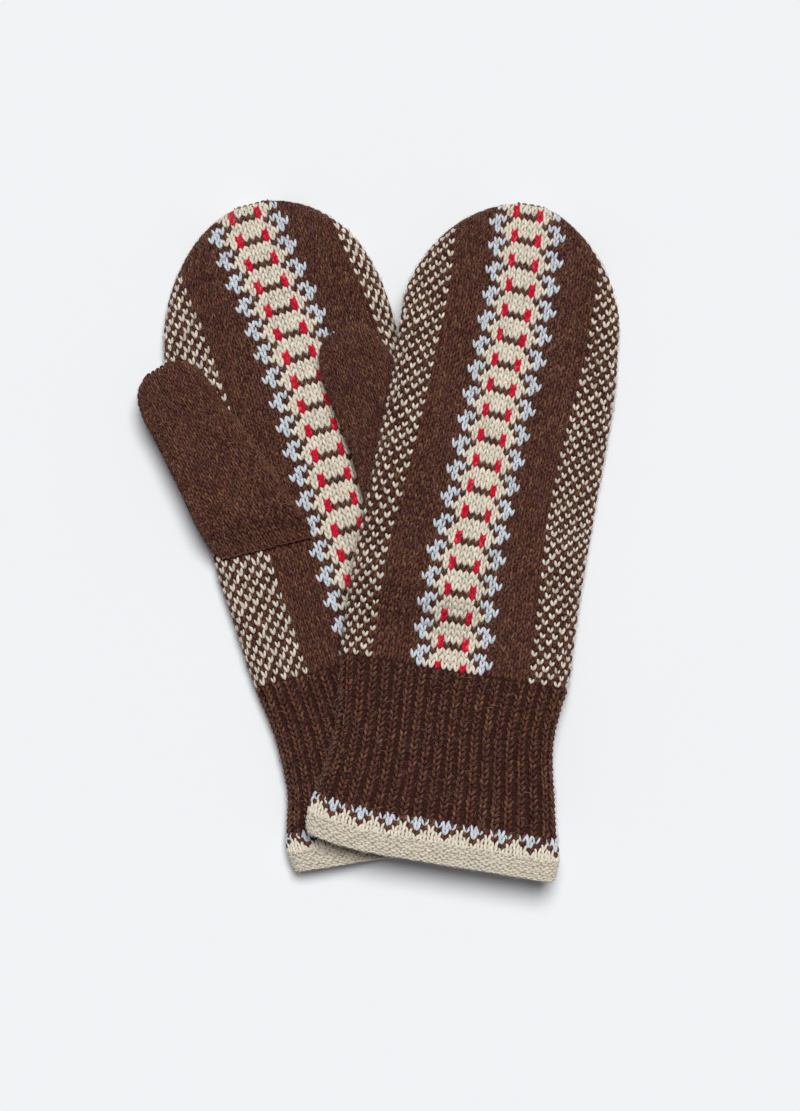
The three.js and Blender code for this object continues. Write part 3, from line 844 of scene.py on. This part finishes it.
def make_hem(m):
    """Rows of purl stitches down to the rounded edge, round it, and up the inside of the wrist."""
    rng = np.random.default_rng(14)
    laid = []
    outside = m["hem_top"] - m["hem_end"] - HEM_ROLL
    rows = int((2 * outside + math.pi * HEM_ROLL) / PURL_ROW)
    for face in (1, -1):
        place = partial(on_hem, m, face)
        for row in range(rows):
            y = m["hem_top"] + HEM_ABOVE - (row + 0.5) * PURL_ROW
            left, right = hem_reaches(m, y)
            width = (left + right) / EDGING_COLUMNS
            s = -left + (np.arange(EDGING_COLUMNS) + PURL_ASIDE) * width
            ys = np.full(len(s), y)
            for shape, aside, up in ((PURL_HEAD, 0, 0), (PURL_FOOT, width / 2, PURL_ROW / 2)):
                laid += lay(place, shape, s + aside, ys + up, rng, across=width / PURL_STITCH,
                            wander=HEM_WANDER, mirror=face < 0)
    return [make_mesh(f"{m['name']}_hem_purl", m, laid, [WOOL["hem"]])]


# -------------------- the thumb
THUMB_COLUMNS = 18
ROOT_ARCH_UP = -0.75       # where the picked-up loops lie between the feet of the first row
ROOT_ARCH_DEPTH = 0.25
FIRST_THUMB_ROW = -3.2
THUMB_ROW_TOP = 0.8        # how much of a row has to fit below the tip
THUMB_STITCH_MIDDLE = 0.4
THUMB_EDGE_MARGIN = 0.2    # of a column, that has to be left to the fold's end
THUMB_BODY_FROM = 1.0      # the columns keep the width that they have here further down


def thumb_stitches(m):
    """Every stitch of one face of the thumb, as rows of (s, y, width)."""
    found = []
    y = FIRST_THUMB_ROW
    while y + THUMB_ROW_TOP * ROW < m["thumb_length"]:
        edge = float(thumb_skin_reach(m, np.array(y + THUMB_STITCH_MIDDLE * ROW)))
        body = float(thumb_skin_reach(m, np.array(min(max(y, THUMB_BODY_FROM), THUMB_SHOULDER))))
        width = 2 * body / THUMB_COLUMNS
        for column in range(THUMB_COLUMNS):
            s = -body + (column + 0.5) * width
            if abs(s) < edge - THUMB_EDGE_MARGIN * width:
                found.append((s, y, width))
        y += ROW
    return np.array(found).T


def make_thumb(m):
    """The thumb's plain knitting, and the loops picked up along its root."""
    rng = np.random.default_rng(15)
    laid = []
    s, y, width = thumb_stitches(m)
    first = y == y.min()
    for face in (1, -1):
        place = partial(on_thumb, m, face)
        laid += lay(place, SOFT_KNIT, s, y, rng, across=width / STITCH, mirror=face < 0)
        between = s[first] + width[first] / 2
        laid += lay(place, ROOT_ARCH, between, y[first] + ROOT_ARCH_UP, rng,
                    across=width[first] / STITCH, depth=ROOT_ARCH_DEPTH, mirror=face < 0)
    return [make_mesh(f"{m['name']}_thumb_knit", m, laid, [WOOL["brown"]])]


# -------------------- the woolly wall behind the stitches, painted dark as the shade between them
WALL_TIP_MARGIN = 1.8      # how far the wall stays from the very end of a tip
TIP_CROWDING = 0.9         # how the rings crowd together towards that end
WALL_ROUND = 90            # points across one face of the outer wall, and of the others
INNER_WALL_ROUND = 60
THUMB_WALL_ROUND = 30
WALL_RINGS = (90, 18)      # rings up to the shoulder, and from there to the tip
INNER_WALL_RINGS = (40, 12)
THUMB_WALL_RINGS = (30, 10)
HEM_WALL_RINGS = 40
THUMB_WALL_FROM = -3.0
LADDER_HALF = 4.6          # in stitches, how far to each side the light yarns run behind the ladder
LADDER_FADE = 2.0


def skin_rings(place, ys, reach, steps, heights):
    """Rings of (s, y) points round a tube, across the top face and back across the lower one."""
    rings = []
    for y, h in zip(ys, np.broadcast_to(heights, len(ys))):
        left, right = reach(y)
        top = np.linspace(-left, right, steps)
        s = np.concatenate([top, top[::-1][1:-1]])
        face = np.concatenate([np.ones(steps), -np.ones(steps - 2)])
        rings.append(place(face, s, np.full(len(s), y), np.full(len(s), h)))
    return np.array(rings)


def ring_mesh(name, m, rings, material, outward=True, cap=False, pale=None):
    """A tube through rings of points. pale is how much light yarn lies behind each point."""
    count, size = rings.shape[:2]
    k, i = np.meshgrid(np.arange(count - 1), np.arange(size), indexing="ij")
    j = (i + 1) % size
    here, after = k * size, (k + 1) * size
    quads = np.stack([here + i, here + j, after + j, after + i], -1).reshape(-1, 4)
    faces = (quads[:, ::-1] if outward else quads).tolist()
    if cap:
        end = (count - 1) * size + np.arange(size)
        faces.append((end[::-1] if outward else end).tolist())
    mesh = bpy.data.meshes.new(name)
    mesh.from_pydata(to_world(m, rings).reshape(-1, 3).tolist(), [], faces)
    mesh.polygons.foreach_set("use_smooth", np.ones(len(faces), bool))
    add_attribute(mesh, "fibre", "FLOAT_VECTOR", rings.reshape(-1, 3))
    add_attribute(mesh, "tone", "FLOAT", np.full(count * size, 0.5))
    add_attribute(mesh, "pale", "FLOAT", np.zeros(count * size) if pale is None else pale.ravel())
    return add_piece(name, mesh, [material])


def tip_steps(low, high, count):
    """Heights over a rounded tip, closer together towards its end."""
    return low + (high - low) * np.sin(np.arange(1, count + 1) / count * math.pi / 2) ** TIP_CROWDING


def behind_ladder(m, rings):
    """1 for points of the wall behind the ladder's light stitches, 0 for those behind the ground."""
    pale = np.zeros(rings.shape[:2])
    half = rings.shape[1] // 2 + 1
    for top in (True, False):
        gauge = PALM_GAUGE if top == m["palm_up"] else BACK_GAUGE
        part = slice(0, half) if top else slice(half, None)
        x, y = rings[:, part, 0], rings[:, part, 1]
        away = np.abs(x - along(gauge, y, 1))
        pale[:, part] = smooth((LADDER_HALF * STITCH - away) / LADDER_FADE)
    return pale


def wall_heights(low, shoulder, end, rings):
    """Even heights up to a shoulder, and closer ones from there to a rounded end."""
    return np.concatenate([np.linspace(low, shoulder, rings[0]), tip_steps(shoulder, end, rings[1])])


def make_hand_wall(m):
    """The wall of knitting seen between the stitches, and the inside of the hand and cuff, in brown
    painted dark as shade.
    """
    low, shoulder = m["hem_top"], m["shoulder"]
    outside_y = wall_heights(low, shoulder, m["tip"] - WALL_TIP_MARGIN, WALL_RINGS)
    inside_y = wall_heights(low, shoulder, m["tip"] - WALL - WALL_TIP_MARGIN, INNER_WALL_RINGS)
    in_cuff = smooth((m["cuff_top"] - outside_y) / ROW) * smooth((outside_y - m["edging_top"]) / ROW)
    depth = SKIN_DEPTH + (RIB_SKIN_DEPTH - SKIN_DEPTH) * in_cuff
    outside = skin_rings(partial(on_hand, m), outside_y, partial(hand_reaches, m), WALL_ROUND, -depth)
    inner, inner_reach = partial(on_hand, m, inside=True), partial(hand_reaches, m, inside=True)
    inside = skin_rings(inner, inside_y, inner_reach, INNER_WALL_ROUND, 0.0)
    y = outside[..., 1]
    pale = behind_ladder(m, outside) * (y > m["cuff_top"] + ROW) * (y < m["tip"] - ROW)
    return [
        ring_mesh(f"{m['name']}_wall_outside", m, outside, WOOL["skin"], cap=True, pale=pale),
        ring_mesh(f"{m['name']}_wall_inside", m, inside, WOOL["skin"], outward=False, cap=True),
    ]


def make_hem_wall(m):
    """The cream wall behind the hem's stitches, painted dark as shade: down the outside, round the edge
    and up the inside.
    """
    outside = m["hem_top"] - m["hem_end"] - HEM_ROLL
    ys = m["hem_top"] - np.linspace(0, 2 * outside + math.pi * HEM_ROLL, HEM_WALL_RINGS)
    rings = skin_rings(partial(on_hem, m), ys[::-1], partial(hem_reaches, m), WALL_ROUND, -HEM_SKIN_DEPTH)
    return [ring_mesh(f"{m['name']}_hem_wall", m, rings, WOOL["hem_skin"])]


def make_thumb_wall(m):
    """The wall of knitting seen between the thumb's stitches, in brown painted dark as shade."""
    def reach(y):
        return [float(thumb_skin_reach(m, np.array(y)))] * 2

    end = m["thumb_length"] - WALL_TIP_MARGIN
    ys = wall_heights(THUMB_WALL_FROM, THUMB_SHOULDER, end, THUMB_WALL_RINGS)
    rings = skin_rings(partial(on_thumb, m), ys, reach, THUMB_WALL_ROUND, -SKIN_DEPTH)
    return [ring_mesh(f"{m['name']}_thumb_wall", m, rings, WOOL["skin"], cap=True)]


# -------------------- stray fibres
HAIRS_PER_AREA = 0.29      # to a square millimetre of one face
FOLD_SHARE = 0.12          # how many of them stand close to the folds
FOLD_STRIP = 0.14          # how wide that strip is, as a share of the way round to the fold
HAIR_TIP_MARGIN = 2.0      # how far the fibres stay from the tips
THUMB_HAIR_TIP_MARGIN = 1.5


def scatter(low, high, reach, rng):
    """Random (s, y) over one face between two heights, as many as its area asks for."""
    count = int((high - low) * 2 * reach(np.array([(low + high) / 2]), 1)[0] * HAIRS_PER_AREA)
    y = rng.uniform(low, high, count)
    share = rng.uniform(-1, 1, count)
    in_strip = np.sign(share) * (1 - FOLD_STRIP * np.abs(share))
    share = np.where(rng.random(count) < FOLD_SHARE, in_strip, share)
    s = np.where(share < 0, share * reach(y, -1), share * reach(y, 1))
    return s, y


def make_hairs(m):
    """The fuzz of the brown wool on the hand and cuff, and that of the cream wool on the hem."""
    rng = np.random.default_rng(16)
    brown, cream = [], []
    reach = partial(hand_skin_reach, m)
    for face in (1, -1):
        s, y = scatter(m["edging_top"], m["tip"] - HAIR_TIP_MARGIN, reach, rng)
        brown += lay_hairs(partial(on_hand, m, face), s, y, rng, mirror=face < 0)
        s, y = scatter(m["hem_end"] - HEM_ROLL, m["hem_top"], reach, rng)
        cream += lay_hairs(partial(on_hem, m, face), s, y, rng, mirror=face < 0)
    return [
        make_mesh(f"{m['name']}_hand_fuzz", m, brown, [BROWN_HAIR]),
        make_mesh(f"{m['name']}_hem_fuzz", m, cream, [CREAM_HAIR]),
    ]


def make_thumb_hairs(m):
    """The fuzz of the brown wool on the thumb."""
    rng = np.random.default_rng(17)
    laid = []
    end = m["thumb_length"] - THUMB_HAIR_TIP_MARGIN
    for face in (1, -1):
        s, y = scatter(0.0, end, lambda y, side: thumb_skin_reach(m, y), rng)
        laid += lay_hairs(partial(on_thumb, m, face), s, y, rng, mirror=face < 0)
    return [make_mesh(f"{m['name']}_thumb_fuzz", m, laid, [BROWN_HAIR])]


# -------------------- the pair
def ride_all(pieces, body):
    for piece in pieces:
        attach(piece, body)


def bend_all(pieces):
    """Pieces of the thumb, with their placing baked into their meshes."""
    for piece in pieces:
        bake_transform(piece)


def build_mitten(m):
    side = m["name"]
    hand_body = f"{side}_mitten"
    ride_all(make_hand(m) + make_hand_wall(m), hand_body)
    ride_all(make_cuff(m), hand_body)
    ride_all(make_edging(m), hand_body)
    ride_all(make_hem(m) + make_hem_wall(m), hand_body)
    ride_all(make_hairs(m), hand_body)
    bend_all(make_thumb(m) + make_thumb_wall(m))
    bend_all(make_thumb_hairs(m))
    stands_for = {
        f"{side}_hand_back_brown": [f"{side}_hand", f"{side}_side_seam", f"{side}_tip_knot"],
        f"{side}_cuff_rib": [f"{side}_rib_cuff"],
        f"{side}_edging_rows": [f"{side}_edging"],
        f"{side}_hem_purl": [f"{side}_hem"],
        f"{side}_thumb_knit": [f"{side}_thumb", f"{side}_thumb_seam", f"{side}_thumb_knot"],
    }
    for name, nodes in stands_for.items():
        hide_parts(*nodes)


for mitten in (LEFT, RIGHT):
    build_mitten(mitten)


# -------------------- floor, light and camera
FRAME_HEIGHT = 0.4666      # what the camera sees from top to bottom, at the height it is aimed at
AIM = (0.00847, -0.00566, 0.012)
LENS = 100.0
SENSOR = 36.0
SUN_FROM = (0.09, 0.40, 1.0)
SUN_STRENGTH = 3.32
SUN_ANGLE = 28.0
ROOM_STRENGTH = 0.14
ROOM_COLOUR = (0.92, 0.87, 1, 1)
FLOOR_SIZE = 24.0
FLOOR_DROP = 0.0002        # how far the floor lies below the mittens, so that no faces coincide
FLOOR_COLOUR = (0.795, 0.810, 0.817, 1)


def make_floor():
    bpy.ops.mesh.primitive_plane_add(size=FLOOR_SIZE, location=(0, 0, -FLOOR_DROP))
    floor = bpy.context.object
    floor.name = "floor"
    n = Nodes("pale_floor")
    n.shader.inputs["Base Color"].default_value = FLOOR_COLOUR
    n.shader.inputs["Roughness"].default_value = 1.0
    n.shader.inputs["Specular IOR Level"].default_value = 0.0
    floor.data.materials.append(n.material)


def make_camera():
    data = bpy.data.cameras.new("camera")
    data.lens = LENS
    data.sensor_width = SENSOR
    camera = bpy.data.objects.new("camera", data)
    distance = FRAME_HEIGHT * LENS / SENSOR
    camera.location = (AIM[0], AIM[1], AIM[2] + distance)
    bpy.context.scene.collection.objects.link(camera)
    bpy.context.scene.camera = camera


def make_light():
    """A broad soft light from above and a little to the upper right, in a pale room."""
    world = bpy.data.worlds.new("soft_room")
    world.use_nodes = True
    background = world.node_tree.nodes["Background"]
    background.inputs["Color"].default_value = ROOM_COLOUR
    background.inputs["Strength"].default_value = ROOM_STRENGTH
    bpy.context.scene.world = world
    data = bpy.data.lights.new("soft_light", "SUN")
    data.energy = SUN_STRENGTH
    data.angle = math.radians(SUN_ANGLE)
    lamp = bpy.data.objects.new("soft_light", data)
    lamp.location = SUN_FROM
    lamp.rotation_euler = Vector(SUN_FROM).to_track_quat("Z", "Y").to_euler()
    bpy.context.scene.collection.objects.link(lamp)


bpy.context.scene.view_settings.view_transform = "Standard"
make_floor()
make_camera()
make_light()
